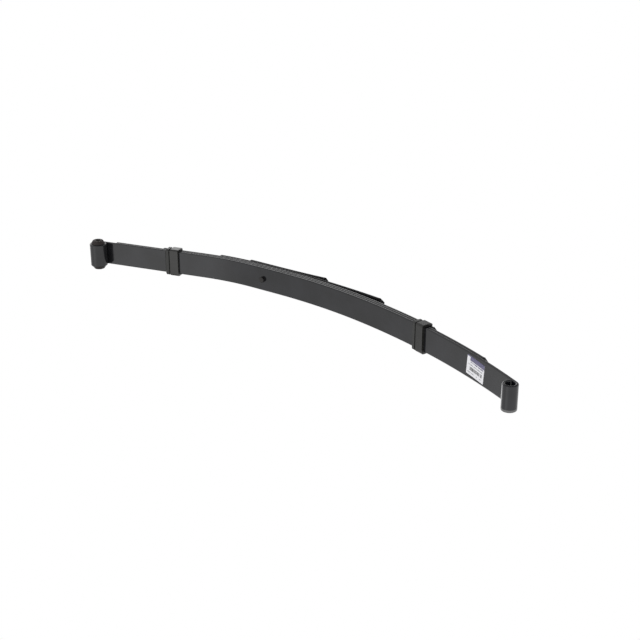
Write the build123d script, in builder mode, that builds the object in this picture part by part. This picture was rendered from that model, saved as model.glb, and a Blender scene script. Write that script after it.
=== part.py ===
"""Semi-elliptic leaf spring: five graduated leaves on a centre bolt, with a bushed
front eye, an open rear eye and two rebound clips.

Millimetres. +X runs along the spring towards the rear eye, +Y across its width and
+Z up, towards the hollow side of the arch where the eyes are. The origin is on the
centre bolt's axis, at the main leaf's upper face.
"""

from build123d import *
import math
import os

os.makedirs("parts", exist_ok=True)

# ---------------------------------------------------------------- driving dimensions

leaf_width = 63.5
leaf_thickness = 7.0
leaf_edge_round = 3.0
interliner_thickness = 0.5

seat_half = 40.0                 # flat length of the pack on each side of the centre bolt
front_bend_radius = 620.0        # main leaf's upper face, front half
front_bend_length = 150.0        # ahead of this bend the front half is straight
rear_bend_radius = 1400.0        # main leaf's upper face, rear half
rear_bend_length = 300.0
rear_sweep_radius = 1850.0       # from the end of the rear bend to the rear eye

front_eye_reach = 508.0          # along the main leaf, centre bolt to eye centre
rear_eye_reach = 903.0
front_eye_bore = 33.0
rear_eye_bore = 22.5

second_leaf_reach = (479.0, 787.0)   # front and rear length from the centre bolt
third_leaf_reach = (337.0, 593.0)
fourth_leaf_reach = (168.0, 382.0)
fifth_leaf_reach = (72.0, 184.0)
fourth_rear_radius = 2100.0          # flatter than the pack, so its rear end stands clear
fifth_rear_radius = 2200.0           # bowed slightly the other way
eye_end_gap_angle = 1.0              # from the rolled end of an eye to the leaf, in degrees

tip_clip_length = 15.0           # clipped corners of the lower leaves' ends
fifth_tip_clip_length = 8.0
tip_clip_width = 8.0
interliner_width = 56.0
upper_interliner_setback = 2.0   # from the second leaf's ends to the liner's ends
middle_interliner_setback = 22.0     # from the clips to the liner's ends
liner_slack = 0.02               # paint film on each side of a liner

bolt_shank = 11.0
bolt_hole = 12.0
bolt_head = 15.0
bolt_head_height = 7.0
bolt_head_chamfer = 1.2
bolt_tip_chamfer = 1.0
nut_across_flats = 17.0
nut_height = 9.0
nut_corner_drop = 1.3
nut_thread_slack = 0.05
bolt_tail = 4.0                  # thread standing out below the nut

sleeve_bore = 13.0
sleeve_outside = 19.0
sleeve_length = 82.5
sleeve_edge_chamfer = 0.6
bush_shell_wall = 1.5
shell_edge_chamfer = 0.4
bush_cone_base = 37.0            # rubber diameter where it leaves the eye
bush_cone_tip = 28.0
bush_cone_height = 8.8
bush_lip_height = 1.5
bush_lip_gap = 0.3
bush_tip_round = 1.8
bush_fit = 0.02                  # radial clearance between neighbouring bush pieces

clip_strap_width = 24.0
clip_strap_thickness = 3.2
clip_liner_thickness = 2.4
clip_liner_lift = 0.25           # clearance over the leaf's curved face
clip_liner_lip = 1.0             # liner showing past the strap's rear edge
clip_liner_shortfall = 4.0       # the liner's legs stop short of the third leaf's underside
clip_collar_gap = 4.0            # thin liner showing between the strap and the collar
clip_collar_width = 12.0         # raised collar ahead of the strap
clip_collar_rise = 2.6
clip_collar_taper = 3.5
clip_corner_round = 3.0
clip_lap_length = 30.0
clip_fit = 0.15                  # clearance between pack, liner and strap
front_clip_reach = 278.0         # centre bolt to the middle of each clip
rear_clip_reach = 551.0
rivet_shank = 8.0
rivet_hole = 8.1
rivet_head = 15.0
rivet_head_height = 3.6
rivet_sunk_head = 12.0           # countersunk end, flush with the third leaf's upper face
rivet_sink_angle = 90.0          # degrees across the countersink
rivet_flush = 0.05               # depth of the sunk end below the leaf's face

label_size = (64.0, 47.0)
label_thickness = 0.25
label_lift = 0.02                # adhesive film between the leaf and the label
label_reach = 755.0
label_turn = -4.5                # stuck on slightly askew
label_blank_margin = 7.0         # the blank is this much longer each way before it is cut to size

size_tolerance = 0.01            # for picking edges by their place or length

# ------------------------------------------------------------------ derived values

half_width = leaf_width / 2
leaf_pitch = leaf_thickness + interliner_thickness
front_eye_radius = front_eye_bore / 2
rear_eye_radius = rear_eye_bore / 2
third_leaf_underside = 2 * leaf_pitch + leaf_thickness
pack_underside = 4 * leaf_pitch + leaf_thickness
well_past = 1.0e4                # stands for the rest of a half, however long it is

# A half's camber is a list of (arc length, radius) from the centre bolt outwards,
# given on the main leaf's upper face. Infinite radius is straight, and a negative
# radius bows downwards.
front_camber = [
    (seat_half, math.inf),
    (front_bend_length, front_bend_radius),
    (well_past, math.inf),
]
rear_camber = [
    (seat_half, math.inf),
    (rear_bend_length, rear_bend_radius),
    (well_past, rear_sweep_radius),
]
fourth_rear_camber = [(seat_half, math.inf), (well_past, fourth_rear_radius)]
fifth_rear_camber = [(seat_half, math.inf), (well_past, -fifth_rear_radius)]

rivet_grip = leaf_thickness + 2 * (clip_strap_thickness + clip_fit) + rivet_flush

clip_places = [
    (front_camber, -1, front_clip_reach),
    (rear_camber, 1, rear_clip_reach),
]

# ------------------------------------------------------------------ camber geometry


def follow(camber, length):
    """Distance out, height and slope of a cambered face at an arc length."""
    out, up, slope = 0.0, 0.0, 0.0
    left = length
    for stretch, radius in camber:
        step = min(stretch, left)
        if math.isinf(radius):
            out += step * math.cos(slope)
            up += step * math.sin(slope)
        else:
            turned = slope + step / radius
            out += radius * (math.sin(turned) - math.sin(slope))
            up += radius * (math.cos(slope) - math.cos(turned))
            slope = turned
        left -= step
        if left <= 0:
            break
    return out, up, slope


def face_point(camber, side, length, depth, top=0.0):
    """Point `depth` below the face that starts at height `top`; side is -1 or +1."""
    out, up, slope = follow(camber, length)
    x = out + depth * math.sin(slope)
    z = top + up - depth * math.cos(slope)
    return (side * x, z)


def camber_plane(camber, side, length, depth=0.0):
    """Plane on the face: its X runs outwards along the leaf, its Z is the face normal."""
    x, z = face_point(camber, side, length, depth)
    slope = side * follow(camber, length)[2]
    return Plane(
        origin=(x, 0, z),
        x_dir=(side * math.cos(slope), 0, side * math.sin(slope)),
        z_dir=(-math.sin(slope), 0, math.cos(slope)),
    )


def draw_face(camber, side, reach, depth, top=0.0):
    """Draw one half of a leaf face, from the centre bolt to `reach`."""
    start = 0.0
    for stretch, radius in camber:
        end = min(start + stretch, reach)
        ends = [face_point(camber, side, s, depth, top) for s in (start, end)]
        if math.isinf(radius):
            Line(*ends)
        else:
            middle = face_point(camber, side, (start + end) / 2, depth, top)
            ThreePointArc(ends[0], middle, ends[1])
        start = end
        if start >= reach:
            break


def strip_outline(cambers, reaches, top, thickness):
    """Side outline of a plain leaf or liner whose upper face starts at height `top`."""
    with BuildSketch(Plane.XZ) as outline:
        with BuildLine():
            for camber, side, reach in zip(cambers, (-1, 1), reaches):
                draw_face(camber, side, reach, 0.0, top)
                draw_face(camber, side, reach, thickness, top)
                Line(
                    face_point(camber, side, reach, 0.0, top),
                    face_point(camber, side, reach, thickness, top),
                )
        make_face()
    return outline.sketch


def offset_camber(camber, depth):
    """The same camber for a face that nests `depth` below the main leaf's."""
    nested = []
    for stretch, radius in camber:
        if math.isinf(radius):
            nested.append((stretch, radius))
        else:
            nested.append((stretch * (radius + depth) / radius, radius + depth))
    return nested


# --------------------------------------------------------------------- the main leaf


def eye_centre(camber, side, reach, radius):
    """Centre of an eye rolled up from the leaf: one bore radius above the face."""
    return face_point(camber, side, reach, -radius)


def draw_eye(camber, side, reach, radius):
    """Rolled eye: two concentric arcs from the leaf round to an end just clear of it."""
    centre_x, centre_z = eye_centre(camber, side, reach, radius)
    slope = follow(camber, reach)[2]
    outside = radius + leaf_thickness
    end_gap = math.acos(radius / outside) + math.radians(eye_end_gap_angle)
    closing_angle = 2 * math.pi - end_gap

    def at(turn, r):
        heading = slope + turn - math.pi / 2
        return (centre_x + side * r * math.cos(heading), centre_z + r * math.sin(heading))

    for r in (radius, outside):
        ThreePointArc(at(0, r), at(closing_angle / 2, r), at(closing_angle, r))
    Line(at(closing_angle, radius), at(closing_angle, outside))


def round_long_edges(leaf, amount):
    """Round the long edges that rolled spring flats have on both sides."""
    for side in (-half_width, half_width):
        lowest, highest = side - size_tolerance, side + size_tolerance
        fillet(leaf.edges().filter_by_position(Axis.Y, lowest, highest), amount)


with BuildPart() as main_leaf:
    with BuildSketch(Plane.XZ):
        with BuildLine():
            for leaf_camber, leaf_side, eye_reach, eye_radius in (
                (front_camber, -1, front_eye_reach, front_eye_radius),
                (rear_camber, 1, rear_eye_reach, rear_eye_radius),
            ):
                draw_face(leaf_camber, leaf_side, eye_reach, 0.0)
                draw_face(leaf_camber, leaf_side, eye_reach, leaf_thickness)
                draw_eye(leaf_camber, leaf_side, eye_reach, eye_radius)
        make_face()
    extrude(amount=half_width, both=True)
    round_long_edges(main_leaf, leaf_edge_round)
    with Locations((0, 0, -leaf_thickness / 2)):
        Hole(bolt_hole / 2)
main_leaf.part.label = "main_leaf"
export_step(main_leaf.part, "parts/main_leaf.step")

# ------------------------------------------------------------------ the lower leaves


def clip_tips(leaf, clip_length):
    """Clip the four corners of a leaf's ends."""
    for end in (leaf.faces().sort_by(Axis.X)[0], leaf.faces().sort_by(Axis.X)[-1]):
        corners = end.edges().filter_by(
            lambda edge: abs(edge.length - leaf_thickness) < size_tolerance
        )
        chamfer(corners, tip_clip_width, clip_length, reference=end)


def lower_leaf(leaf, place, reaches, rear=None, clip_length=tip_clip_length):
    """Fill in a leaf at `place` below the main leaf, with its own rear camber or none."""
    top = -place * leaf_pitch
    nested = [offset_camber(camber, -top) for camber in (front_camber, rear_camber)]
    if rear:
        nested[1] = rear
    outline = strip_outline(nested, reaches, top, leaf_thickness)
    extrude(outline, amount=half_width, both=True)
    clip_tips(leaf, clip_length)
    round_long_edges(leaf, leaf_edge_round)
    with Locations((0, 0, top - leaf_thickness / 2)):
        Hole(bolt_hole / 2)


with BuildPart() as second_leaf:
    lower_leaf(second_leaf, 1, second_leaf_reach)
second_leaf.part.label = "second_leaf"
export_step(second_leaf.part, "parts/second_leaf.step")

with BuildPart() as third_leaf:
    lower_leaf(third_leaf, 2, third_leaf_reach)
    for clip_camber, clip_side, clip_reach in clip_places:
        with Locations(camber_plane(clip_camber, clip_side, clip_reach, 2 * leaf_pitch)):
            CounterSinkHole(
                rivet_hole / 2, rivet_sunk_head / 2 + clip_fit, leaf_thickness, rivet_sink_angle
            )
third_leaf.part.label = "third_leaf"
export_step(third_leaf.part, "parts/third_leaf.step")

with BuildPart() as fourth_leaf:
    lower_leaf(fourth_leaf, 3, fourth_leaf_reach, fourth_rear_camber)
fourth_leaf.part.label = "fourth_leaf"
export_step(fourth_leaf.part, "parts/fourth_leaf.step")

with BuildPart() as fifth_leaf:
    lower_leaf(fifth_leaf, 4, fifth_leaf_reach, fifth_rear_camber, fifth_tip_clip_length)
fifth_leaf.part.label = "fifth_leaf"
export_step(fifth_leaf.part, "parts/fifth_leaf.step")

# --------------------------------------------------------------- the interleaf liners


def interliner(place, reaches):
    """Thin strip under leaf number `place`, filling the gap down to the next leaf."""
    top = -(place - 1) * leaf_pitch - leaf_thickness - liner_slack
    nested = [offset_camber(camber, -top) for camber in (front_camber, rear_camber)]
    outline = strip_outline(nested, reaches, top, interliner_thickness - 2 * liner_slack)
    extrude(outline, amount=interliner_width / 2, both=True)
    with Locations((0, 0, top)):
        Hole(bolt_hole / 2)


def set_back(reaches, setback):
    """Liner lengths that stop short of the given lengths."""
    return [reach - setback for reach in reaches]


with BuildPart() as upper_interliner:
    interliner(1, set_back(second_leaf_reach, upper_interliner_setback))
upper_interliner.part.label = "upper_interliner"
export_step(upper_interliner.part, "parts/upper_interliner.step")

with BuildPart() as middle_interliner:
    clip_reaches = [front_clip_reach, rear_clip_reach]
    interliner(2, set_back(clip_reaches, middle_interliner_setback))
middle_interliner.part.label = "middle_interliner"
export_step(middle_interliner.part, "parts/middle_interliner.step")

with BuildPart() as lower_seat_liner:
    interliner(3, [seat_half, seat_half])
lower_seat_liner.part.label = "lower_seat_liner"
export_step(lower_seat_liner.part, "parts/lower_seat_liner.step")

with BuildPart() as bottom_seat_liner:
    interliner(4, [seat_half, seat_half])
bottom_seat_liner.part.label = "bottom_seat_liner"
export_step(bottom_seat_liner.part, "parts/bottom_seat_liner.step")

# ------------------------------------------------------------- centre bolt and nut

with BuildPart() as centre_bolt:
    with BuildSketch(Plane.XY):
        Circle(bolt_head / 2)
    extrude(amount=bolt_head_height)
    chamfer(centre_bolt.edges().sort_by(Axis.Z)[-1], bolt_head_chamfer)
    with BuildSketch(Plane.XY):
        Circle(bolt_shank / 2)
    extrude(amount=-(pack_underside + nut_height + bolt_tail))
    chamfer(centre_bolt.edges().sort_by(Axis.Z)[0], bolt_tip_chamfer)
centre_bolt.part.label = "centre_bolt"
export_step(centre_bolt.part, "parts/centre_bolt.step")

with BuildPart() as centre_bolt_nut:
    nut_top = -pack_underside
    nut_bottom = nut_top - nut_height
    nut_corner = nut_across_flats / math.sqrt(3)
    with BuildSketch(Plane.XY.offset(nut_top)):
        RegularPolygon(nut_across_flats / 2, 6, major_radius=False)
    extrude(amount=-nut_height)
    with BuildSketch(Plane.XZ):
        with BuildLine():
            Polyline(
                (0, nut_top),
                (nut_corner - nut_corner_drop, nut_top),
                (nut_corner, nut_top - nut_corner_drop),
                (nut_corner, nut_bottom + nut_corner_drop),
                (nut_corner - nut_corner_drop, nut_bottom),
                (0, nut_bottom),
                close=True,
            )
        make_face()
    revolve(axis=Axis.Z, mode=Mode.INTERSECT)
    with Locations((0, 0, nut_top)):
        Hole(bolt_shank / 2 + nut_thread_slack)
centre_bolt_nut.part.label = "centre_bolt_nut"
export_step(centre_bolt_nut.part, "parts/centre_bolt_nut.step")

# --------------------------------------------------------------- the front eye's bush

bush_x, bush_z = eye_centre(front_camber, -1, front_eye_reach, front_eye_radius)
bush_axis = Axis((bush_x, 0, bush_z), (0, 1, 0))
bush_section = Plane(origin=(bush_x, 0, bush_z), x_dir=(1, 0, 0), z_dir=(0, 0, 1))
shell_outside_radius = front_eye_radius - bush_fit
shell_inside_radius = shell_outside_radius - bush_shell_wall
sleeve_outside_radius = sleeve_outside / 2


def turned_ring(inside, outside, length, edge_chamfer):
    """Plain tube on the front eye's axis with chamfered ends."""
    with BuildSketch(bush_section) as section:
        with Locations(((inside + outside) / 2, 0)):
            Rectangle(outside - inside, length)
        chamfer(section.vertices(), edge_chamfer)
    revolve(section.sketch, axis=bush_axis)


with BuildPart() as front_bush_shell:
    turned_ring(shell_inside_radius, shell_outside_radius, leaf_width, shell_edge_chamfer)
front_bush_shell.part.label = "front_bush_shell"
export_step(front_bush_shell.part, "parts/front_bush_shell.step")

with BuildPart() as front_bush_rubber:
    cone_foot = half_width + bush_lip_gap
    cone_top = half_width + bush_cone_height
    core_radius = sleeve_outside_radius + bush_fit
    body_radius = shell_inside_radius - bush_fit
    with BuildSketch(bush_section) as rubber_section:
        with BuildLine():
            Polyline(
                (core_radius, 0),
                (core_radius, cone_top),
                (bush_cone_tip / 2, cone_top),
                (bush_cone_base / 2, cone_foot + bush_lip_height),
                (bush_cone_base / 2, cone_foot),
                (body_radius, cone_foot),
                (body_radius, 0),
                close=True,
            )
        make_face()
        outer_tip = rubber_section.vertices().sort_by(Axis.Y)[-2:].sort_by(Axis.X)[-1]
        fillet(outer_tip, bush_tip_round)
        mirror(about=Plane.XZ)
    revolve(axis=bush_axis)
front_bush_rubber.part.label = "front_bush_rubber"
export_step(front_bush_rubber.part, "parts/front_bush_rubber.step")

with BuildPart() as front_bush_sleeve:
    turned_ring(sleeve_bore / 2, sleeve_outside_radius, sleeve_length, sleeve_edge_chamfer)
front_bush_sleeve.part.label = "front_bush_sleeve"
export_step(front_bush_sleeve.part, "parts/front_bush_sleeve.step")

# --------------------------------------------------------------------- the two clips

liner_inside = leaf_width + 2 * clip_fit
liner_outside = liner_inside + 2 * clip_liner_thickness
liner_top = clip_liner_lift + clip_liner_thickness
liner_foot = -third_leaf_underside + clip_liner_shortfall
strap_middle_top = liner_top + clip_fit + clip_strap_thickness / 2
strap_middle_side = liner_outside / 2 + clip_fit + clip_strap_thickness / 2
inner_lap = -third_leaf_underside - clip_fit - clip_strap_thickness / 2
outer_lap = inner_lap - clip_strap_thickness - clip_fit


def clip_section(camber, side, reach):
    """Plane across the leaves at a clip: X over the width, Y along the face normal."""
    x, z = face_point(camber, side, reach, 0)
    slope = side * follow(camber, reach)[2]
    return Plane(
        origin=(x, 0, z), x_dir=(0, 1, 0), z_dir=(math.cos(slope), 0, math.sin(slope))
    )


def channel(plane, wall, start, end):
    """Stretch of a channel over the main leaf's face and down both edges of the pack."""
    top = clip_liner_lift + wall
    height = top - liner_foot
    with BuildSketch(plane.offset(start)) as section:
        with Locations((0, top - height / 2)):
            Rectangle(liner_inside + 2 * wall, height)
        corner_round = clip_corner_round + wall - clip_liner_thickness
        fillet(section.vertices().sort_by(Axis.Y)[-2:], corner_round)
        with Locations((0, clip_liner_lift - height / 2)):
            Rectangle(liner_inside, height, mode=Mode.SUBTRACT)
    extrude(section.sketch, amount=end - start)


def clip_liner(place):
    """Moulded liner under the strap, with a raised and tapered collar ahead of it."""
    plane = clip_section(*place)
    collar_end = -clip_strap_width / 2 - clip_collar_gap
    liner_start = collar_end - clip_collar_width
    liner_end = clip_strap_width / 2 + clip_liner_lip
    channel(plane, clip_liner_thickness, collar_end, liner_end)
    channel(plane, clip_liner_thickness + clip_collar_rise, liner_start, collar_end)

    def is_outside(edge):
        centre = plane.to_local_coords(edge.center())
        over_face = centre.Y > clip_liner_lift + size_tolerance
        beside_pack = abs(centre.X) > liner_inside / 2 + size_tolerance
        return (over_face or beside_pack) and centre.Y > liner_foot + size_tolerance

    front_face = faces().sort_by(Axis(plane.origin, plane.z_dir))[0]
    chamfer(front_face.edges().filter_by(is_outside), clip_collar_taper)


def clip_strap(place):
    """Strip bent round the pack, its two ends lapped and riveted under the third leaf."""
    with BuildSketch(clip_section(*place)) as section:
        with BuildLine() as bends:
            FilletPolyline(
                (-clip_lap_length / 2, inner_lap),
                (strap_middle_side, inner_lap),
                (strap_middle_side, strap_middle_top),
                (-strap_middle_side, strap_middle_top),
                (-strap_middle_side, outer_lap),
                (clip_lap_length / 2, outer_lap),
                radius=clip_corner_round + clip_strap_thickness / 2,
            )
        trace(bends.line, clip_strap_thickness)
    extrude(section.sketch, amount=clip_strap_width / 2, both=True)
    rivet_plane = camber_plane(*place, depth=2 * leaf_pitch)
    with BuildSketch(rivet_plane) as hole:
        Circle(rivet_hole / 2)
    extrude(hole.sketch, amount=-rivet_grip, mode=Mode.SUBTRACT)


def clip_rivet(place):
    """Rivet sunk flush into the third leaf, with a domed head under the strap's lap."""
    plane = clip_section(*place)
    top = -2 * leaf_pitch - rivet_flush
    grip_end = -2 * leaf_pitch - rivet_grip
    dome_radius = ((rivet_head / 2) ** 2 + rivet_head_height**2) / (2 * rivet_head_height)
    half_dome = math.asin(rivet_head / 2 / dome_radius) / 2
    dome_centre = grip_end - rivet_head_height + dome_radius
    dome_shoulder = (
        dome_radius * math.sin(half_dome),
        dome_centre - dome_radius * math.cos(half_dome),
    )
    with BuildSketch(plane) as section:
        with BuildLine():
            Polyline(
                (0, top),
                (rivet_sunk_head / 2, top),
                (rivet_shank / 2, top - (rivet_sunk_head - rivet_shank) / 2),
                (rivet_shank / 2, grip_end),
                (rivet_head / 2, grip_end),
            )
            ThreePointArc(
                (rivet_head / 2, grip_end), dome_shoulder, (0, grip_end - rivet_head_height)
            )
            Line((0, grip_end - rivet_head_height), (0, top))
        make_face()
    revolve(section.sketch, axis=Axis(plane.origin, plane.y_dir))


front_place, rear_place = clip_places

with BuildPart() as front_clip_liner:
    clip_liner(front_place)
front_clip_liner.part.label = "front_clip_liner"
export_step(front_clip_liner.part, "parts/front_clip_liner.step")

with BuildPart() as front_clip_strap:
    clip_strap(front_place)
front_clip_strap.part.label = "front_clip_strap"
export_step(front_clip_strap.part, "parts/front_clip_strap.step")

with BuildPart() as front_clip_rivet:
    clip_rivet(front_place)
front_clip_rivet.part.label = "front_clip_rivet"
export_step(front_clip_rivet.part, "parts/front_clip_rivet.step")

with BuildPart() as rear_clip_liner:
    clip_liner(rear_place)
rear_clip_liner.part.label = "rear_clip_liner"
export_step(rear_clip_liner.part, "parts/rear_clip_liner.step")

with BuildPart() as rear_clip_strap:
    clip_strap(rear_place)
rear_clip_strap.part.label = "rear_clip_strap"
export_step(rear_clip_strap.part, "parts/rear_clip_strap.step")

with BuildPart() as rear_clip_rivet:
    clip_rivet(rear_place)
rear_clip_rivet.part.label = "rear_clip_rivet"
export_step(rear_clip_rivet.part, "parts/rear_clip_rivet.step")

# ------------------------------------------------------------------ the stuck-on label

with BuildPart() as part_label:
    label_half = label_size[0] / 2 + label_blank_margin
    label_stations = [label_reach - label_half, label_reach, label_reach + label_half]
    label_under = [face_point(rear_camber, 1, s, -label_lift) for s in label_stations]
    label_over = [
        face_point(rear_camber, 1, s, -label_lift - label_thickness) for s in label_stations
    ]
    with BuildSketch(Plane.XZ):
        with BuildLine():
            ThreePointArc(*label_under)
            Line(label_under[-1], label_over[-1])
            ThreePointArc(*label_over)
            Line(label_over[0], label_under[0])
        make_face()
    extrude(amount=half_width, both=True)
    with BuildSketch(camber_plane(rear_camber, 1, label_reach)):
        Rectangle(*label_size, rotation=label_turn)
    extrude(amount=leaf_thickness, both=True, mode=Mode.INTERSECT)
part_label.part.label = "part_label"
export_step(part_label.part, "parts/part_label.step")
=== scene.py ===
import math

import bmesh
import bpy
from mathutils import Matrix, Vector


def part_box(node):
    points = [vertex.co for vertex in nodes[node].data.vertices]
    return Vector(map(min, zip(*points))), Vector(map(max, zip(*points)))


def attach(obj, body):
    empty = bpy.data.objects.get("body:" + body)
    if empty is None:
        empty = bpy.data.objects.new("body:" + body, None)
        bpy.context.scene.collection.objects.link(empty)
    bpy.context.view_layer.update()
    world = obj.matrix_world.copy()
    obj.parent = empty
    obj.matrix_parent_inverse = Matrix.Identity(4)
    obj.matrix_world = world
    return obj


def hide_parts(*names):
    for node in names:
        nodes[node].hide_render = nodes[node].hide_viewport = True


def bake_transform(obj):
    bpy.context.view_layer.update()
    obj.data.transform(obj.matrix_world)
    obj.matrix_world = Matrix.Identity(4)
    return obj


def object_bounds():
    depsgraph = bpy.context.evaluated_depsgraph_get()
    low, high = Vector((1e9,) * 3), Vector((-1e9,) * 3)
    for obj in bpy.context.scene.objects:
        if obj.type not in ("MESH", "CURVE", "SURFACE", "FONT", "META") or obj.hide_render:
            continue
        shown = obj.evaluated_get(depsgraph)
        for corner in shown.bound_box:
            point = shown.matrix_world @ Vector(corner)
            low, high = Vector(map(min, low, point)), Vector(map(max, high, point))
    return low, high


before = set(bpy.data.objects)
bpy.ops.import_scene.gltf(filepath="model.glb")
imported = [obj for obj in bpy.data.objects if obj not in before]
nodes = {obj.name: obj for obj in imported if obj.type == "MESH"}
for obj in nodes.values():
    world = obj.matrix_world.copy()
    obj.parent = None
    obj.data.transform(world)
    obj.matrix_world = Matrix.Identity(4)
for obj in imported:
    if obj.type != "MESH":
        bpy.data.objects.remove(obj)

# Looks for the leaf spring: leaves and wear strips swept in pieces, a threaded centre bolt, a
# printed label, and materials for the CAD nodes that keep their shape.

cad_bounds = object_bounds()

# ------------------------------------------------------------------ driving dimensions
# Metres, in the CAD's frame: +X along the spring to the open rear eye, +Y across the
# leaves, +Z up to the hollow side of the arch, origin on the centre bolt.

MM = 0.001

leaf_thickness = 7.0 * MM
leaf_pitch = 7.5 * MM
leaf_edge_round = 3.0 * MM

# Camber of each half from the centre bolt outwards, as (length, radius) stretches: a flat
# seat, then bends. The last stretch is longer than any leaf.
seat_length = 40 * MM
to_leaf_end = 10.0
front_camber = [(seat_length, math.inf), (150 * MM, 620 * MM), (to_leaf_end, math.inf)]
rear_camber = [(seat_length, math.inf), (300 * MM, 1400 * MM), (to_leaf_end, 1850 * MM)]
fourth_rear_camber = [(seat_length, math.inf), (to_leaf_end, 2100 * MM)]
fifth_rear_camber = [(seat_length, math.inf), (to_leaf_end, -2200 * MM)]

front_eye_reach = 508.0 * MM       # along the main leaf, centre bolt to eye centre
rear_eye_reach = 903.0 * MM
front_eye_radius = 16.5 * MM
rear_eye_radius = 11.25 * MM
eye_end_gap_angle = math.radians(1)

second_leaf_reach = (479 * MM, 787 * MM)
third_leaf_reach = (337 * MM, 593 * MM)
fourth_leaf_reach = (168 * MM, 382 * MM)
fifth_leaf_reach = (72 * MM, 184 * MM)
front_clip_reach = 278 * MM
rear_clip_reach = 551 * MM
upper_interliner_setback = 2 * MM
middle_interliner_setback = 22 * MM
interliner_half = 28 * MM
interliner_thickness = 0.46 * MM
liner_slack = 0.02 * MM

tip_clip_length = 15 * MM
fifth_tip_clip_length = 8 * MM
tip_clip_width = 8 * MM
sheared_edge = 0.5 * MM            # small rounding of cut ends and clipped corners
rim_highlight_width = 7 * MM          # painted highlight: grey rim on the rear eye's -Y end, for the light it catches

label_reach = 755 * MM
label_size = (64 * MM, 47 * MM)
label_turn = -4.5                  # degrees
label_corner = 0.5 * MM            # the film's corners are clipped by this much
label_lift = 0.02 * MM
label_thickness = 0.25 * MM

sleeve_bore_radius = 6.5 * MM

bolt_hole_radius = 6.0 * MM
bolt_head_radius = 7.5 * MM
bolt_head_height = 7.0 * MM
bolt_head_round = 1.2 * MM
head_middle_radius = 1.0 * MM      # the flat middle that closes the head's top
head_foot = (0.2 * MM, 0.3 * MM)   # the head's lower edge: drawn in by, and up to
head_lift = 0.05 * MM              # paint under the head
bolt_shank_radius = 5.5 * MM
bolt_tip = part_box("centre_bolt")[0].z
bolt_tip_taper = 1.0 * MM
thread_length = 24 * MM
thread_pitch = 1.5 * MM
thread_depth = 0.8 * MM
rings_per_thread = 8
bolt_sides = 64

seat_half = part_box("lower_seat_liner")[1].x
half_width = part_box("second_leaf")[1].y

# Stretches of each half that bend, between the seat, the clips and the eyes.
seat_margin = 2 * MM
clip_margin = 19 * MM
front_eye_margin = 30 * MM
rear_eye_margin = 34 * MM
front_bend = (seat_half + seat_margin, front_clip_reach - clip_margin)
front_end_bend = (front_clip_reach + clip_margin, front_eye_reach - front_eye_margin)
rear_bend = (seat_half + seat_margin, rear_clip_reach - clip_margin)
rear_end_bend = (rear_clip_reach + clip_margin, rear_eye_reach - rear_eye_margin)

# Each half's side along X, its name and where its clip holds the leaves.
halves = [(-1, "front", front_clip_reach), (1, "rear", rear_clip_reach)]

ring_step = 4 * MM                 # spacing of cross-sections along a leaf
eye_step = math.radians(5)         # spacing of cross-sections round an eye
first_tip_ring = 0.6 * MM          # past the start of a clipped tip
corner_steps = 6                   # segments in each rounded long edge
corner_support = 0.4 * MM          # from a rounded edge to the point that keeps its shape
least_side = 0.01 * MM             # flat left between two rounded edges
sharp_angle = math.radians(32)     # edges sharper than this aren't shaded smooth
bevel_angle = math.radians(35)     # CAD edges sharper than this are rounded
bevel_segments = 3

tool_mark_phase = 14000.0          # radians per metre: a tool mark about every 0.45 mm
dust_grey = (0.09, 0.088, 0.085, 1)
worn_edge_grey = (0.16, 0.155, 0.15, 1)
# painted highlight: light grey for the rear eye's lower rim, standing in for the light it catches
rim_highlight_grey = (0.13, 0.13, 0.13, 1)

# ------------------------------------------------------------------- camber geometry


def follow(camber, length):
    """Distance out, height and slope of a cambered face at an arc length."""
    out, up, slope = 0.0, 0.0, 0.0
    left = length
    for stretch, radius in camber:
        step = min(stretch, left)
        if math.isinf(radius):
            out += step * math.cos(slope)
            up += step * math.sin(slope)
        else:
            turned = slope + step / radius
            out += radius * (math.sin(turned) - math.sin(slope))
            up += radius * (math.cos(slope) - math.cos(turned))
            slope = turned
        left -= step
        if left <= 0:
            break
    return out, up, slope


def nested(camber, depth):
    """The same camber for a face that nests `depth` below the main leaf's."""
    return [
        (stretch, radius) if math.isinf(radius)
        else (stretch * (radius + depth) / radius, radius + depth)
        for stretch, radius in camber
    ]


def station(camber, side, length, top=0.0):
    """Point on a leaf's upper face and the face's normal there."""
    out, up, slope = follow(camber, length)
    point = Vector((side * out, 0.0, top + up))
    normal = Vector((-side * math.sin(slope), 0.0, math.cos(slope)))
    return point, normal


def spaced(start, end, step):
    """Evenly spaced lengths from start to end, both included."""
    count = max(1, math.ceil(abs(end - start) / step))
    return [start + (end - start) * i / count for i in range(count + 1)]


# --------------------------------------------------------------------- mesh building


def profile(half, thickness, corner):
    """Points (y, depth) round a flat bar's section, with support points by each corner."""
    corner = min(corner, thickness / 2 - least_side)
    points = []
    corners = [
        (half - corner, corner, -90),
        (half - corner, thickness - corner, 0),
        (corner - half, thickness - corner, 90),
        (corner - half, corner, 180),
    ]
    for index, (y, depth, start) in enumerate(corners):
        arc = [math.radians(start + 90 * i / corner_steps) for i in range(corner_steps + 1)]
        rounded = [(y + corner * math.cos(a), depth + corner * math.sin(a)) for a in arc]
        inward = math.copysign(corner_support, -y)
        if index % 2:
            rounded.append((rounded[-1][0] + inward, rounded[-1][1]))
        else:
            rounded.insert(0, (rounded[0][0] + inward, rounded[0][1]))
        points += rounded
    return points


def ring(place, half, thickness, corner, inset=0.0):
    """One cross-section of a leaf, standing on the face at `place`."""
    point, normal = place
    section = profile(half - inset, thickness - 2 * inset, corner)
    return [
        point + Vector((0, y, 0)) - normal * (depth + inset) for y, depth in section
    ]


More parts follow.
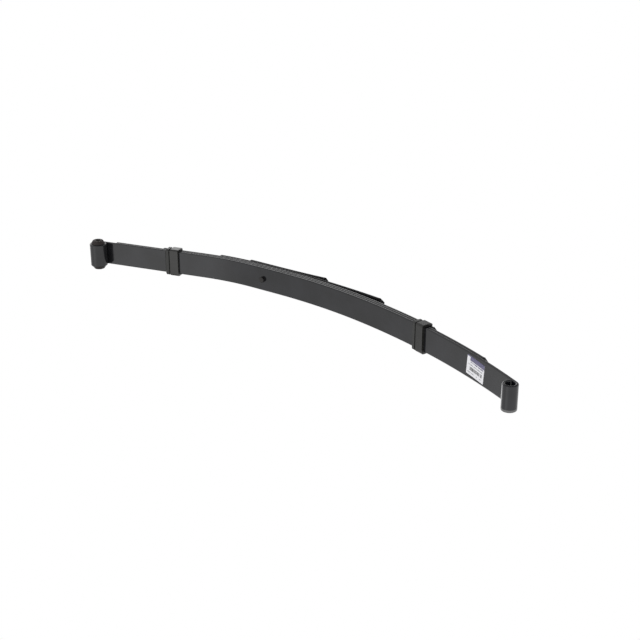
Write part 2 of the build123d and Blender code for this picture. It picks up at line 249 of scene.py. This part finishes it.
def swept_mesh(name, rings):
    """Closed solid through equal rings of points."""
    mesh = bpy.data.meshes.new(name)
    count = len(rings[0])
    vertices = [point for one in rings for point in one]
    faces = []
    for row in range(len(rings) - 1):
        for i in range(count):
            j = (i + 1) % count
            low, high = row * count, (row + 1) * count
            faces.append((low + i, low + j, high + j, high + i))
    faces.append(tuple(range(count)))
    faces.append(tuple(range((len(rings) - 1) * count, len(rings) * count)))
    mesh.from_pydata(vertices, [], faces)
    return finished(mesh, name)


def set_shading(mesh):
    """Smooth shading, apart from a mesh's sharp edges."""
    mesh.shade_smooth()
    mesh.set_sharp_from_angle(angle=sharp_angle)


def finished(mesh, name):
    """Object of a mesh with outward normals, smooth apart from its sharp edges."""
    work = bmesh.new()
    work.from_mesh(mesh)
    bmesh.ops.recalc_face_normals(work, faces=work.faces)
    work.to_mesh(mesh)
    work.free()
    set_shading(mesh)
    piece = bpy.data.objects.new(name, mesh)
    bpy.context.scene.collection.objects.link(piece)
    return piece


def drill(piece, top):
    """Cut the centre bolt's hole through a piece whose upper face is at height `top`."""
    mesh = bpy.data.meshes.new("drill")
    work = bmesh.new()
    bmesh.ops.create_cone(
        work, cap_ends=True, segments=48, radius1=bolt_hole_radius, radius2=bolt_hole_radius,
        depth=6 * leaf_thickness, matrix=Matrix.Translation((0, 0, top)),
    )
    work.to_mesh(mesh)
    work.free()
    cutter = bpy.data.objects.new("drill", mesh)
    bpy.context.scene.collection.objects.link(cutter)
    cut = piece.modifiers.new("hole", "BOOLEAN")
    cut.operation = "DIFFERENCE"
    cut.solver = "EXACT"
    cut.object = cutter
    bpy.context.view_layer.update()
    result = bpy.data.meshes.new_from_object(
        piece.evaluated_get(bpy.context.evaluated_depsgraph_get())
    )
    piece.modifiers.remove(cut)
    piece.data = result
    bpy.data.objects.remove(cutter)
    set_shading(result)


# ------------------------------------------------------------------------- materials


class Shader:
    """A Principled material with short calls for the nodes that feed it."""

    def __init__(self, name):
        self.material = bpy.data.materials.new(name)
        self.material.use_nodes = True
        self.tree = self.material.node_tree
        self.surface = self.tree.nodes["Principled BSDF"]
        self.coordinates = self.tree.nodes.new("ShaderNodeTexCoord").outputs["Object"]

    def node(self, kind, **inputs):
        """New node with its inputs set to values or linked to outputs."""
        made = self.tree.nodes.new(kind)
        for label, value in inputs.items():
            self.feed(made.inputs[label.replace("_", " ")], value)
        return made

    def feed(self, socket, value):
        """Link an output, or set a plain value."""
        if isinstance(value, bpy.types.NodeSocket):
            self.tree.links.new(value, socket)
        else:
            socket.default_value = value

    def set(self, **inputs):
        """Feed the surface's own inputs."""
        for label, value in inputs.items():
            self.feed(self.surface.inputs[label.replace("_", " ")], value)

    def noise(self, scale, detail=4.0, roughness=0.55, vector=None):
        """Noise from 0 to 1 with features about 1 / scale metres across."""
        made = self.node("ShaderNodeTexNoise", Vector=vector or self.coordinates)
        made.inputs["Scale"].default_value = scale
        made.inputs["Detail"].default_value = detail
        made.inputs["Roughness"].default_value = roughness
        return made.outputs["Fac"]

    def ramp(self, value, low, high, out_low=0.0, out_high=1.0):
        """Map a value's range low..high onto out_low..out_high, clamped."""
        made = self.node("ShaderNodeMapRange", Value=value)
        made.inputs["From Min"].default_value = low
        made.inputs["From Max"].default_value = high
        made.inputs["To Min"].default_value = out_low
        made.inputs["To Max"].default_value = out_high
        return made.outputs["Result"]

    def maths(self, operation, first, second=0.0):
        """Arithmetic on two values."""
        made = self.tree.nodes.new("ShaderNodeMath")
        made.operation = operation
        self.feed(made.inputs[0], first)
        self.feed(made.inputs[1], second)
        return made.outputs[0]

    def mix(self, factor, first, second):
        """Blend of two colours."""
        made = self.tree.nodes.new("ShaderNodeMix")
        made.data_type = "RGBA"
        self.feed(made.inputs["Factor"], factor)
        self.feed(made.inputs[6], first)
        self.feed(made.inputs[7], second)
        return made.outputs[2]

    def edges(self, radius, low, high):
        """Mask of worn edges: where a rounded normal leaves the true one."""
        soft = self.node("ShaderNodeBevel")
        soft.samples = 4
        soft.inputs["Radius"].default_value = radius
        true = self.tree.nodes.new("ShaderNodeNewGeometry")
        dot = self.tree.nodes.new("ShaderNodeVectorMath")
        dot.operation = "DOT_PRODUCT"
        self.tree.links.new(soft.outputs["Normal"], dot.inputs[0])
        self.tree.links.new(true.outputs["Normal"], dot.inputs[1])
        bend = self.maths("SUBTRACT", 1.0, dot.outputs["Value"])
        return self.ramp(bend, low, high)

    def bump(self, *layers):
        """Surface relief from (height, depth in metres) layers, chained."""
        normal = None
        for height, depth in layers:
            made = self.node("ShaderNodeBump", Height=height)
            made.inputs["Strength"].default_value = 1.0
            made.inputs["Distance"].default_value = depth
            if normal:
                self.tree.links.new(normal, made.inputs["Normal"])
            normal = made.outputs["Normal"]
        self.tree.links.new(normal, self.surface.inputs["Normal"])


def painted_rim_highlight(paint):
    """Mask of the rear eye's lower end, whose rounded rim gets a painted highlight."""
    split = paint.node("ShaderNodeSeparateXYZ", Vector=paint.coordinates)
    eye_start = cad_bounds[1].x - 2 * (rear_eye_radius + leaf_thickness)
    near_eye = paint.ramp(split.outputs["X"], eye_start, eye_start + 1 * MM)
    rim_start = rim_highlight_width - half_width
    at_end = paint.ramp(split.outputs["Y"], rim_start, rim_start - 0.5 * MM)
    return paint.maths("MULTIPLY", near_eye, at_end)


def black_paint(name, gloss, base, peel, wear, specular=0.5):
    """Sprayed black paint on rolled steel: orange peel, dust, thin paint on edges and a painted
    highlight on the rear eye's lower rim.
    """
    paint = Shader(name)
    cloud = paint.noise(14, detail=3)
    grain = paint.noise(900, detail=2)
    wave = paint.noise(90, detail=3)
    dark = (base[0] * 0.7, base[1] * 0.7, base[2] * 0.7, 1)
    light = (base[0] * 1.35, base[1] * 1.35, base[2] * 1.4, 1)
    tone = paint.mix(paint.ramp(cloud, 0.35, 0.65), dark, light)
    edge = paint.edges(0.8 * MM, 0.02, 0.22)
    patchy = paint.maths("MULTIPLY", edge, paint.ramp(paint.noise(260, detail=5), 0.42, 0.7))
    bare = paint.maths("MULTIPLY", patchy, wear)
    dust = paint.ramp(paint.noise(1500, detail=1), 0.72, 0.8, 0.0, 0.18)
    tone = paint.mix(dust, tone, dust_grey)
    tone = paint.mix(bare, tone, worn_edge_grey)
    # painted highlight: the rear eye's lower rim is turned light grey
    tone = paint.mix(painted_rim_highlight(paint), tone, rim_highlight_grey)
    rough = paint.ramp(paint.noise(40, detail=5), 0.3, 0.7, gloss - 0.05, gloss + 0.07)
    rough = paint.maths("ADD", rough, paint.maths("MULTIPLY", dust, 0.6))
    paint.set(Base_Color=tone, Roughness=rough, Metallic=0.0)
    paint.surface.inputs["IOR"].default_value = 1.5
    paint.surface.inputs["Specular IOR Level"].default_value = specular
    paint.bump((wave, peel), (grain, peel * 0.12))
    return paint.material


def wear_strip():
    """Matt black polymer strip between the leaves."""
    strip = Shader("liner_polymer")
    speck = strip.noise(600, detail=4)
    tone = strip.mix(
        strip.ramp(speck, 0.3, 0.7), (0.006, 0.006, 0.006, 1), (0.014, 0.014, 0.014, 1)
    )
    strip.set(Base_Color=tone, Roughness=strip.ramp(speck, 0.3, 0.7, 0.62, 0.8))
    strip.bump((speck, 0.05 * MM))
    return strip.material


def moulded_polymer():
    """Fine-grained moulded polymer of the clip liners."""
    polymer = Shader("clip_polymer")
    grain = polymer.noise(1100, detail=3)
    cloud = polymer.noise(60, detail=3)
    tone = polymer.mix(
        polymer.ramp(cloud, 0.35, 0.65), (0.010, 0.010, 0.009, 1), (0.017, 0.017, 0.015, 1)
    )
    edge = polymer.edges(0.5 * MM, 0.03, 0.3)
    tone = polymer.mix(polymer.maths("MULTIPLY", edge, 0.35), tone, (0.05, 0.05, 0.047, 1))
    polymer.set(Base_Color=tone, Roughness=polymer.ramp(cloud, 0.3, 0.7, 0.34, 0.48))
    polymer.bump((grain, 0.03 * MM))
    return polymer.material


def bush_rubber():
    """Dark, faintly brown moulded rubber with a mould-release bloom."""
    rubber = Shader("bush_rubber")
    bloom = rubber.noise(160, detail=5)
    grain = rubber.noise(1400, detail=2)
    tone = rubber.mix(
        rubber.ramp(bloom, 0.35, 0.7), (0.012, 0.0085, 0.008, 1), (0.034, 0.026, 0.025, 1)
    )
    rubber.set(Base_Color=tone, Roughness=rubber.ramp(bloom, 0.3, 0.7, 0.5, 0.72))
    rubber.surface.inputs["Specular IOR Level"].default_value = 0.35
    rubber.bump((bloom, 0.08 * MM), (grain, 0.03 * MM))
    return rubber.material


def turned_steel(name, tone_low, tone_high, centre, bore):
    """Lathe-turned steel, dulled by oil, with tool rings round its axis and painted shade in its
    bore.
    """
    steel = Shader(name)
    place = steel.node("ShaderNodeMapping", Vector=steel.coordinates)
    place.inputs["Location"].default_value = tuple(-c for c in centre)
    split = steel.node("ShaderNodeSeparateXYZ", Vector=place.outputs["Vector"])
    squares = [
        steel.maths("MULTIPLY", split.outputs[axis], split.outputs[axis]) for axis in ("X", "Z")
    ]
    radius = steel.maths("SQRT", steel.maths("ADD", *squares))
    along = steel.maths("ADD", radius, split.outputs["Y"])
    rings = steel.maths("SINE", steel.maths("MULTIPLY", along, tool_mark_phase))
    stain = steel.noise(220, detail=5)
    tone = steel.mix(steel.ramp(stain, 0.35, 0.7), (*tone_low, 1), (*tone_high, 1))
    # painted shade: the bore is coloured near-black and is not metallic
    painted_bore_shade = steel.maths("LESS_THAN", radius, bore + 0.4 * MM)
    tone = steel.mix(painted_bore_shade, tone, (0.004, 0.0035, 0.003, 1))
    metallic = steel.ramp(painted_bore_shade, 0.0, 1.0, 0.6, 0.0)
    steel.set(Base_Color=tone, Metallic=metallic, Roughness=steel.ramp(stain, 0.3, 0.7, 0.42, 0.6))
    steel.bump((rings, 0.006 * MM), (stain, 0.03 * MM))
    return steel.material


def oxide_steel():
    """Black-oxide bolt steel, a little brown where oil has dried."""
    oxide = Shader("bolt_coating")
    stain = oxide.noise(300, detail=5)
    tone = oxide.mix(
        oxide.ramp(stain, 0.35, 0.7), (0.008, 0.008, 0.009, 1), (0.03, 0.026, 0.022, 1)
    )
    edge = oxide.edges(0.4 * MM, 0.02, 0.25)
    tone = oxide.mix(oxide.maths("MULTIPLY", edge, 0.4), tone, (0.12, 0.115, 0.11, 1))
    oxide.set(Base_Color=tone, Metallic=0.35, Roughness=oxide.ramp(stain, 0.3, 0.7, 0.32, 0.5))
    oxide.bump((oxide.noise(1300, detail=3), 0.02 * MM))
    return oxide.material


def printed_film():
    """White label film: a coloured band along one side and generic bars, no lettering.

    Places on it are shares of its length (u) and of its width (v).
    """
    film = Shader("label_film")
    uv = film.tree.nodes.new("ShaderNodeUVMap")
    split = film.node("ShaderNodeSeparateXYZ", Vector=uv.outputs["UV"])
    u, v = split.outputs["X"], split.outputs["Y"]

    def within(value, low, high):
        above = film.maths("GREATER_THAN", value, low)
        below = film.maths("LESS_THAN", value, high)
        return film.maths("MULTIPLY", above, below)

    def area(u_low, u_high, v_low, v_high):
        return film.maths("MULTIPLY", within(u, u_low, u_high), within(v, v_low, v_high))

    def bars(value, pitch, share, seed):
        """Bars of uneven width across `value`, covering about `share` of it."""
        cell = film.maths("FLOOR", film.maths("MULTIPLY", film.maths("ADD", value, seed), pitch))
        random = film.tree.nodes.new("ShaderNodeTexWhiteNoise")
        random.noise_dimensions = "1D"
        film.tree.links.new(cell, random.inputs["W"])
        return film.maths("LESS_THAN", random.outputs["Value"], share)

    white = (0.86, 0.86, 0.88, 1)
    band_ink = (0.06, 0.05, 0.15, 1)
    black_ink = (0.045, 0.045, 0.05, 1)
    grey_ink = (0.22, 0.22, 0.25, 1)
    print_wear = film.ramp(film.noise(900, detail=4), 0.3, 0.75, 1.0, 0.85)

    def ink(under, shape, colour):
        return film.mix(film.maths("MULTIPLY", shape, print_wear), under, colour)

    tone = film.mix(film.noise(30, detail=2), white, (0.78, 0.78, 0.81, 1))
    tone = ink(tone, area(0.17, 1.0, 0.76, 1.0), band_ink)
    tone = ink(tone, area(0.0, 1.0, 0.94, 1.0), band_ink)
    stripe = film.maths("MULTIPLY", area(0.2, 0.95, 0.66, 0.72), bars(u, 34.0, 0.7, 0.13))
    tone = ink(tone, stripe, band_ink)
    upper_line = film.maths("MULTIPLY", area(0.07, 0.9, 0.52, 0.57), bars(u, 30.0, 0.6, 0.47))
    tone = ink(tone, upper_line, grey_ink)
    code = film.maths("MULTIPLY", area(0.18, 0.9, 0.26, 0.44), bars(u, 70.0, 0.66, 0.31))
    tone = ink(tone, code, black_ink)
    lower_line = film.maths("MULTIPLY", area(0.07, 0.85, 0.12, 0.16), bars(u, 26.0, 0.5, 0.7))
    tone = ink(tone, lower_line, grey_ink)
    film.set(Base_Color=tone, Roughness=film.ramp(film.noise(120), 0.3, 0.7, 0.28, 0.42))
    film.surface.inputs["Coat Weight"].default_value = 0.2
    film.bump((film.noise(70, detail=2), 0.12 * MM), (film.noise(1500), 0.01 * MM))
    return film.material


eye_low, eye_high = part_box("front_bush_sleeve")
bush_centre = (eye_low + eye_high) / 2

leaf_black = (0.0105, 0.0108, 0.0125)
# painted shade: a darker black for the fourth and fifth leaves, standing in for the shade in the
# gap below the third leaf
shaded_lower_black = (0.007, 0.007, 0.0075)
strap_black = (0.013, 0.0128, 0.0112)
materials = {
    "leaf_paint": black_paint("leaf_paint", 0.12, leaf_black, 0.022 * MM, 0.25),
    # painted shade: the fourth and fifth leaves get darker, duller paint
    "lower_leaf_paint": black_paint(
        "lower_leaf_paint", 0.42, shaded_lower_black, 0.05 * MM, 1.0, specular=0.2
    ),
    "strap_paint": black_paint("strap_paint", 0.24, strap_black, 0.05 * MM, 0.6),
    "rivet_paint": black_paint("rivet_paint", 0.28, strap_black, 0.05 * MM, 0.8),
    "liner_polymer": wear_strip(),
    "clip_polymer": moulded_polymer(),
    "bush_rubber": bush_rubber(),
    "bush_steel": turned_steel(
        "bush_steel", (0.03, 0.026, 0.024), (0.085, 0.075, 0.068), bush_centre, sleeve_bore_radius
    ),
    "shell_steel": turned_steel(
        "shell_steel", (0.04, 0.038, 0.036), (0.1, 0.095, 0.09), bush_centre, 0.0
    ),
    "bolt_coating": oxide_steel(),
    "label_film": printed_film(),
}


def dress(piece, slot):
    """Give a piece the material of one of the record's slots."""
    piece.data.materials.clear()
    piece.data.materials.append(materials[slot])
    return piece


# ------------------------------------------------------------------------ the leaves


def bend_line(side, stretch):
    """Start and end points of a bending stretch, on the main leaf's upper face."""
    camber = front_camber if side < 0 else rear_camber
    return [station(camber, side, length)[0] for length in stretch]


def hold(piece, side, outer):
    """Bake a piece's placement into its mesh; its half's bending stretch, inner or outer, is
    looked up but not used.
    """
    stretches = {
        (-1, False): front_bend, (-1, True): front_end_bend,
        (1, False): rear_bend, (1, True): rear_end_bend,
    }
    start, end = bend_line(side, stretches[side, outer])
    if outer:
        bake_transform(piece)
    else:
        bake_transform(piece)


def tip_rings(camber, side, reach, top, clip_length):
    """Rings of a lower leaf's clipped end, from the start of the clip outwards."""
    clip_start = reach - clip_length
    rings = []
    lengths = [clip_start + first_tip_ring]
    lengths += spaced(clip_start + ring_step, reach - sheared_edge, ring_step)
    for length in lengths:
        drawn_in = tip_clip_width * (length - clip_start) / clip_length
        place = station(camber, side, length, top)
        rings.append(ring(place, half_width - drawn_in, leaf_thickness, sheared_edge))
    last = station(camber, side, reach, top)
    end_half = half_width - tip_clip_width
    rings.append(ring(last, end_half, leaf_thickness, sheared_edge, inset=sheared_edge))
    return rings


def stretch_rings(camber, side, start, end, top):
    """Rings of a leaf's full section between two lengths."""
    return [
        ring(station(camber, side, length, top), half_width, leaf_thickness, leaf_edge_round)
        for length in spaced(start, end, ring_step)
    ]


def eye_rings(camber, side, reach, radius):
    """Rings that roll a leaf's end round an eye of the given bore radius."""
    point, normal = station(camber, side, reach)
    centre = point + normal * radius
    slope = follow(camber, reach)[2]
    outside = radius + leaf_thickness
    closing = 2 * math.pi - math.acos(radius / outside) - eye_end_gap_angle
    turns = spaced(0.0, closing - sheared_edge / radius, eye_step)[1:]

    def place(turn):
        heading = slope + turn - math.pi / 2
        outward = Vector((side * math.cos(heading), 0.0, math.sin(heading)))
        return centre + outward * radius, -outward

    rings = [ring(place(turn), half_width, leaf_thickness, leaf_edge_round) for turn in turns]
    rings.append(
        ring(place(closing), half_width, leaf_thickness, leaf_edge_round, inset=sheared_edge)
    )
    return rings


def divided(start, clip_reach, reach):
    """Start and end lengths of a half's one or two pieces, which meet under its clip."""
    if reach > clip_reach:
        return [(start, clip_reach), (clip_reach, reach)]
    return [(start, reach)]


def leaf_pieces(name, place, reaches, cambers, eyes=None, clip_length=tip_clip_length):
    """One leaf as a seat piece and one or two pieces on each side of it."""
    top = -place * leaf_pitch
    made = []
    seat = stretch_rings(cambers[0], -1, seat_half, 0.0, top)
    seat += stretch_rings(cambers[1], 1, 0.0, seat_half, top)[1:]
    seat_piece = swept_mesh(f"{name}_seat", seat)
    drill(seat_piece, top)
    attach(seat_piece, "centre_pack")
    made.append(seat_piece)
    for (side, half, clip_reach), camber, reach in zip(halves, cambers, reaches):
        stretches = divided(seat_half, clip_reach, reach)
        for index, (start, end) in enumerate(stretches):
            is_last = index == len(stretches) - 1
            if not is_last:
                rings = stretch_rings(camber, side, start, end, top)
            elif eyes:
                rings = stretch_rings(camber, side, start, end, top)
                rings += eye_rings(camber, side, reach, eyes[half])
            else:
                rings = stretch_rings(camber, side, start, reach - clip_length, top)
                rings += tip_rings(camber, side, reach, top, clip_length)
            piece = swept_mesh(f"{name}_{half}_{'bend' if index == 0 else 'end'}", rings)
            hold(piece, side, outer=index == 1)
            made.append(piece)
    for piece in made:
        dress(piece, "leaf_paint" if place < 3 else "lower_leaf_paint")
        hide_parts(name)


def nested_pair(place):
    """Front and rear camber of the leaf at `place` below the main leaf."""
    depth = place * leaf_pitch
    return [nested(front_camber, depth), nested(rear_camber, depth)]


leaf_pieces(
    "main_leaf", 0, (front_eye_reach, rear_eye_reach), nested_pair(0),
    eyes={"front": front_eye_radius, "rear": rear_eye_radius},
)
leaf_pieces("second_leaf", 1, second_leaf_reach, nested_pair(1))
leaf_pieces("third_leaf", 2, third_leaf_reach, nested_pair(2))
leaf_pieces("fourth_leaf", 3, fourth_leaf_reach, [nested_pair(3)[0], fourth_rear_camber])
leaf_pieces(
    "fifth_leaf", 4, fifth_leaf_reach, [nested_pair(4)[0], fifth_rear_camber],
    clip_length=fifth_tip_clip_length,
)


def interliner_pieces(name, place, reaches):
    """One wear strip, in the same stretches as the leaves."""
    top = -(place - 1) * leaf_pitch - leaf_thickness - liner_slack
    corner = interliner_thickness / 4
    cambers = [nested(front_camber, -top), nested(rear_camber, -top)]
    for (side, half, clip_reach), camber, reach in zip(halves, cambers, reaches):
        for index, (start, end) in enumerate(divided(0.0, clip_reach, reach)):
            places = [
                station(camber, side, length, top) for length in spaced(start, end, ring_step)
            ]
            rings = [
                ring(place_on_face, interliner_half, interliner_thickness, corner)
                for place_on_face in places
            ]
            piece = swept_mesh(f"{name}_{half}_{'bend' if index == 0 else 'end'}", rings)
            if index == 0:
                drill(piece, top)
            hold(piece, side, outer=index == 1)
            dress(piece, "liner_polymer")
            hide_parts(name)


interliner_pieces(
    "upper_interliner", 1, [reach - upper_interliner_setback for reach in second_leaf_reach]
)
interliner_pieces(
    "middle_interliner", 2,
    [reach - middle_interliner_setback for reach in (front_clip_reach, rear_clip_reach)],
)

# ------------------------------------------------------------------------- the label


def label_mesh():
    """Thin film following the leaf's face, with a UV map: u along the leaf, v across it."""
    mesh = bpy.data.meshes.new("part_label_film")
    columns, rows = 32, 24
    turn = math.radians(label_turn)
    vertices, uvs = [], []
    for lift in (label_lift, label_lift + label_thickness):
        for row in range(rows + 1):
            for column in range(columns + 1):
                u, v = column / columns, row / rows
                along = (u - 0.5) * label_size[0]
                across = (v - 0.5) * label_size[1]
                if column in (0, columns) and row in (0, rows):
                    along -= math.copysign(label_corner, along)
                    across -= math.copysign(label_corner, across)
                reach = label_reach + along * math.cos(turn) - across * math.sin(turn)
                point, normal = station(rear_camber, 1, reach)
                sideways = along * math.sin(turn) + across * math.cos(turn)
                vertices.append(point + normal * lift + Vector((0, sideways, 0)))
                uvs.append((u, v))
    layer = (rows + 1) * (columns + 1)
    faces = []
    for row in range(rows):
        for column in range(columns):
            corner = row * (columns + 1) + column
            quad = (corner, corner + 1, corner + columns + 2, corner + columns + 1)
            faces.append(quad)
            faces.append(tuple(index + layer for index in quad))
    rim = list(range(columns))
    rim += [columns + row * (columns + 1) for row in range(rows)]
    rim += [rows * (columns + 1) + column for column in range(columns, 0, -1)]
    rim += [row * (columns + 1) for row in range(rows, 0, -1)]
    for first, second in zip(rim, rim[1:] + rim[:1]):
        faces.append((first, second, second + layer, first + layer))
    mesh.from_pydata(vertices, [], faces)
    film = finished(mesh, "part_label_film")
    coordinates = film.data.uv_layers.new(name="print")
    for loop in film.data.loops:
        coordinates.data[loop.index].uv = uvs[loop.vertex_index]
    return film


label_film = label_mesh()
hold(label_film, 1, outer=True)
dress(label_film, "label_film")
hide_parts("part_label")

# ------------------------------------------------------------------- the centre bolt


def bolt_ring(radius, height, groove=0.0):
    """Points round the bolt at one height; a groove cuts a helical thread into them."""
    points = []
    for step in range(bolt_sides):
        share = step / bolt_sides
        flank = abs((height / thread_pitch + share) % 1.0 * 2 - 1)
        turned = radius - groove * flank
        angle = 2 * math.pi * share
        points.append(Vector((turned * math.cos(angle), turned * math.sin(angle), height)))
    return points


def threaded_bolt():
    """Cheese-headed bolt with a rounded head edge and a thread on its lower end."""
    round_steps = [math.radians(90 * i / 5) for i in range(6)]
    rings = [bolt_ring(head_middle_radius, bolt_head_height)]
    for angle in round_steps:
        radius = bolt_head_radius - bolt_head_round * (1 - math.sin(angle))
        rings.append(bolt_ring(radius, bolt_head_height - bolt_head_round * (1 - math.cos(angle))))
    foot_inset, foot_height = head_foot
    rings.append(bolt_ring(bolt_head_radius, foot_height))
    rings.append(bolt_ring(bolt_head_radius - foot_inset, head_lift))
    rings.append(bolt_ring(bolt_shank_radius, head_lift))
    thread_top = bolt_tip + thread_length
    rings.append(bolt_ring(bolt_shank_radius, thread_top))
    ring_gap = thread_pitch / rings_per_thread
    for height in spaced(thread_top, bolt_tip + bolt_tip_taper, ring_gap)[1:]:
        rings.append(bolt_ring(bolt_shank_radius, height, thread_depth))
    rings.append(bolt_ring(bolt_shank_radius - bolt_tip_taper, bolt_tip))
    return swept_mesh("centre_bolt_body", rings)


bolt = threaded_bolt()
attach(bolt, "centre_pack")
dress(bolt, "bolt_coating")
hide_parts("centre_bolt")

# ------------------------------------------------------------- CAD nodes kept as made


def soften(piece, width):
    """Round a CAD node's sharp edges with a bevel modifier; its own mesh stays as it is."""
    bevel = piece.modifiers.new("edges", "BEVEL")
    bevel.width = width
    bevel.segments = bevel_segments
    bevel.limit_method = "ANGLE"
    bevel.angle_limit = bevel_angle
    bevel.harden_normals = False


# Each node's material slot, and the width of its rounded edges.
kept = {
    "lower_seat_liner": ("liner_polymer", 0.0),
    "bottom_seat_liner": ("liner_polymer", 0.0),
    "centre_bolt_nut": ("bolt_coating", 0.25 * MM),
    "front_bush_shell": ("shell_steel", 0.0),
    "front_bush_rubber": ("bush_rubber", 0.3 * MM),
    "front_bush_sleeve": ("bush_steel", 0.2 * MM),
    "front_clip_liner": ("clip_polymer", 0.4 * MM),
    "rear_clip_liner": ("clip_polymer", 0.4 * MM),
    "front_clip_strap": ("strap_paint", 0.5 * MM),
    "rear_clip_strap": ("strap_paint", 0.5 * MM),
    "front_clip_rivet": ("rivet_paint", 0.2 * MM),
    "rear_clip_rivet": ("rivet_paint", 0.2 * MM),
}
for node, (slot, width) in kept.items():
    dress(nodes[node], slot)
    if width:
        soften(nodes[node], width)

# ---------------------------------------------------------- floor, light and camera

# Brightness of the surroundings by a direction's X: lamp and dim room in front of the
# hollow side, and the lit backdrop behind, low down and high up.
front_stops = [(-0.9, 0.82), (-0.6, 0.92), (-0.25, 1.45), (0.3, 1.1)]
low_stops = [(-0.75, 2.0), (-0.6, 1.9), (-0.4, 1.3), (0.75, 1.0)]
high_stops = [(-0.68, 1.7), (-0.54, 1.6), (-0.42, 0.25), (0.5, 0.5)]

# By its Y: the share of that brightness left, and where low down turns into high up.
# By its Z: where behind turns into in front.
shade_stops = [(-0.85, 0.25), (-0.5, 1.0), (0.45, 1.0), (0.75, 0.45)]
low_to_high = [(0.1, 0.0), (0.3, 1.0)]
behind_to_front = [(-0.25, 0.0), (0.1, 1.0)]
brightest = 2.0                    # a colour ramp's stops can't be brighter than 1


def level(tree, value, stops):
    """Brightness picked from (value, brightness) stops along a direction's component."""
    low, high = stops[0][0], stops[-1][0]
    share = tree.nodes.new("ShaderNodeMapRange")
    share.inputs["From Min"].default_value = low
    share.inputs["From Max"].default_value = high
    tree.links.new(value, share.inputs["Value"])
    ramp = tree.nodes.new("ShaderNodeValToRGB")
    ramp.color_ramp.interpolation = "EASE"
    while len(ramp.color_ramp.elements) < len(stops):
        ramp.color_ramp.elements.new(0.5)
    for element, (place, brightness) in zip(ramp.color_ramp.elements, stops):
        element.position = (place - low) / (high - low)
        grey = brightness / brightest
        element.color = (grey, grey, grey, 1)
    tree.links.new(share.outputs["Result"], ramp.inputs["Fac"])
    restored = tree.nodes.new("ShaderNodeMath")
    restored.operation = "MULTIPLY"
    restored.inputs[1].default_value = brightest
    tree.links.new(ramp.outputs["Color"], restored.inputs[0])
    return restored.outputs[0]


def blended(tree, share, first, second):
    """Value between two others."""
    mix = tree.nodes.new("ShaderNodeMix")
    tree.links.new(share, mix.inputs["Factor"])
    tree.links.new(first, mix.inputs["A"])
    tree.links.new(second, mix.inputs["B"])
    return mix.outputs["Result"]


def studio_light(tree, direction):
    """Brightness of the studio seen in a direction; the camera itself sees plain white."""
    split = tree.nodes.new("ShaderNodeSeparateXYZ")
    tree.links.new(direction, split.inputs[0])
    x, y, z = split.outputs
    in_front = level(tree, x, front_stops)
    behind_high = level(tree, x, high_stops)
    behind_low = level(tree, x, low_stops)
    behind = blended(tree, level(tree, y, low_to_high), behind_low, behind_high)
    around = blended(tree, level(tree, z, behind_to_front), behind, in_front)
    shade = level(tree, y, shade_stops)
    shaded = tree.nodes.new("ShaderNodeMath")
    shaded.operation = "MULTIPLY"
    tree.links.new(around, shaded.inputs[0])
    tree.links.new(shade, shaded.inputs[1])
    seen = shaded.outputs[0]
    camera_sees = tree.nodes.new("ShaderNodeLightPath").outputs["Is Camera Ray"]
    plain_white = tree.nodes.new("ShaderNodeValue")
    plain_white.outputs[0].default_value = 1.0
    return blended(tree, camera_sees, seen, plain_white.outputs[0])


floor_white = bpy.data.materials.new("floor_white")
floor_white.use_nodes = True
floor_tree = floor_white.node_tree
floor_tree.nodes.remove(floor_tree.nodes["Principled BSDF"])
glow = floor_tree.nodes.new("ShaderNodeEmission")
incoming = floor_tree.nodes.new("ShaderNodeNewGeometry").outputs["Incoming"]
onward = floor_tree.nodes.new("ShaderNodeVectorMath")
onward.operation = "SCALE"
onward.inputs["Scale"].default_value = -1.0
floor_tree.links.new(incoming, onward.inputs[0])
floor_tree.links.new(studio_light(floor_tree, onward.outputs[0]), glow.inputs["Strength"])
floor_tree.links.new(glow.outputs[0], floor_tree.nodes["Material Output"].inputs["Surface"])

floor_mesh = bpy.data.meshes.new("floor")
floor_half = 30.0                  # half the side of the square floor
floor_height = cad_bounds[0].z - 1 * MM
corners = [(-floor_half, -floor_half), (floor_half, -floor_half)]
corners += [(floor_half, floor_half), (-floor_half, floor_half)]
floor_mesh.from_pydata([(x, y, floor_height) for x, y in corners], [], [(0, 1, 2, 3)])
floor_mesh.materials.append(floor_white)
floor = bpy.data.objects.new("floor", floor_mesh)
bpy.context.scene.collection.objects.link(floor)

world = bpy.data.worlds.new("studio")
world.use_nodes = True
bpy.context.scene.world = world
sky = world.node_tree.nodes["Background"]
sky.inputs["Color"].default_value = (1, 1, 1, 1)
sky_direction = world.node_tree.nodes.new("ShaderNodeTexCoord").outputs["Generated"]
world.node_tree.links.new(studio_light(world.node_tree, sky_direction), sky.inputs["Strength"])
bpy.context.scene.view_settings.view_transform = "Standard"

# The camera looks at the spring from its hollow side, with the leaves' width upright.
camera_yaw = math.radians(35.57)
camera_pitch = math.radians(22.86)
camera_place = Vector((1.9104, 1.1787, 2.4110))
camera_lens = 70.0                 # millimetres, like the sensor's width
camera_sensor = 36.0
right = Vector((math.cos(camera_yaw), 0, -math.sin(camera_yaw)))
back = Vector((
    math.sin(camera_yaw) * math.cos(camera_pitch),
    math.sin(camera_pitch),
    math.cos(camera_yaw) * math.cos(camera_pitch),
))
upward = back.cross(right)
camera_data = bpy.data.cameras.new("camera")
camera_data.lens = camera_lens
camera_data.sensor_width = camera_sensor
camera = bpy.data.objects.new("camera", camera_data)
turn = Matrix((right, upward, back)).transposed().to_4x4()
camera.matrix_world = Matrix.Translation(camera_place) @ turn
bpy.context.scene.collection.objects.link(camera)
bpy.context.scene.camera = camera

# ---------------------------------------------------------------------------- finish

bpy.context.view_layer.update()
